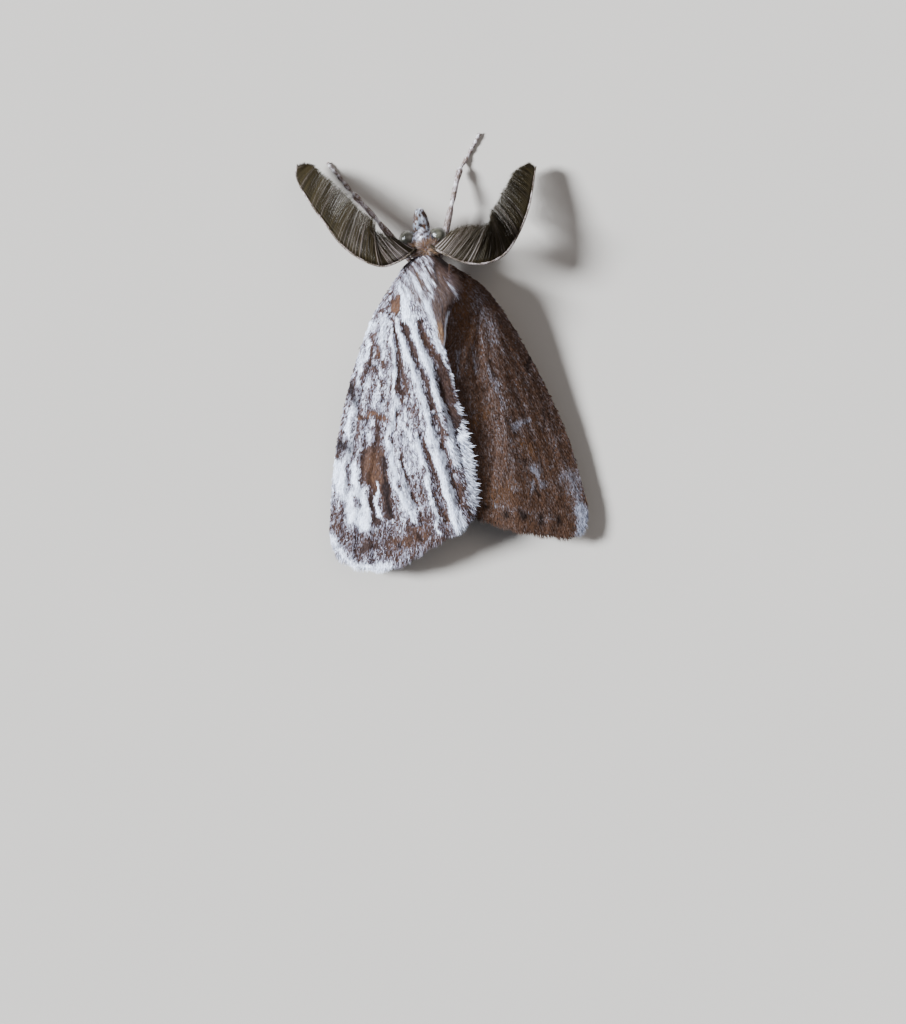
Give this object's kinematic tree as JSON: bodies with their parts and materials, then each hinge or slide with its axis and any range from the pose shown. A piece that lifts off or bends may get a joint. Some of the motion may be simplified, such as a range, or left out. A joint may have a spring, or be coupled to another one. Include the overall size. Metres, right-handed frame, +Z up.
{
  "type": "geometer moth",
  "caption": "Brown-grey moth at rest with folded overlapping forewings, feathered antennae, short snout and forelegs stretched forward.",
  "frame": {"origin": "on the ground under the middle of the moth's footprint, on the body's axis", "axes": "+Z up, the head towards -Y, the moth's left side +X"},
  "size_m": [0.0139, 0.0226, 0.0041],
  "materials": {
    "head_fur": "tan hair-like scales, matt",
    "body_fur": "grey-brown hair-like scales with pale tips, matt",
    "palp_scales": "pale grey scales with brown spots, matt",
    "eye": "dark olive, finely faceted, glossy",
    "plume": "brown barbs on a pale shaft, matt",
    "forewing_scales": "umber scales with grey-white frosting and dark marks, faint sheen",
    "hindwing_scales": "plain pale grey-brown scales, matt",
    "leg_scales": "brown scales with pale bands, matt"
  },
  "bodies": {
    "root": {"head": "head_fur", "collar": "body_fur", "thorax": "body_fur", "tegula_left": "body_fur", "tegula_right": "body_fur", "abdomen": "body_fur", "eye_left": "eye", "eye_right": "eye", "palp_left": "palp_scales", "palp_right": "palp_scales", "tongue": "leg_scales", "antenna_left": "plume", "antenna_right": "plume", "forewing_left": "forewing_scales", "forewing_right": "forewing_scales", "hindwing_left": "hindwing_scales", "hindwing_right": "hindwing_scales", "foreleg_left_femur": "leg_scales", "foreleg_left_tibia": "leg_scales", "foreleg_left_tarsus": "leg_scales", "foreleg_right_femur": "leg_scales", "foreleg_right_tibia": "leg_scales", "foreleg_right_tarsus": "leg_scales", "midleg_left_femur": "leg_scales", "midleg_left_tibia": "leg_scales", "midleg_left_tarsus": "leg_scales", "midleg_right_femur": "leg_scales", "midleg_right_tibia": "leg_scales", "midleg_right_tarsus": "leg_scales", "hindleg_left_femur": "leg_scales", "hindleg_left_tibia": "leg_scales", "hindleg_left_tarsus": "leg_scales", "hindleg_right_femur": "leg_scales", "hindleg_right_tibia": "leg_scales", "hindleg_right_tarsus": "leg_scales"}
  },
  "joints": []
}
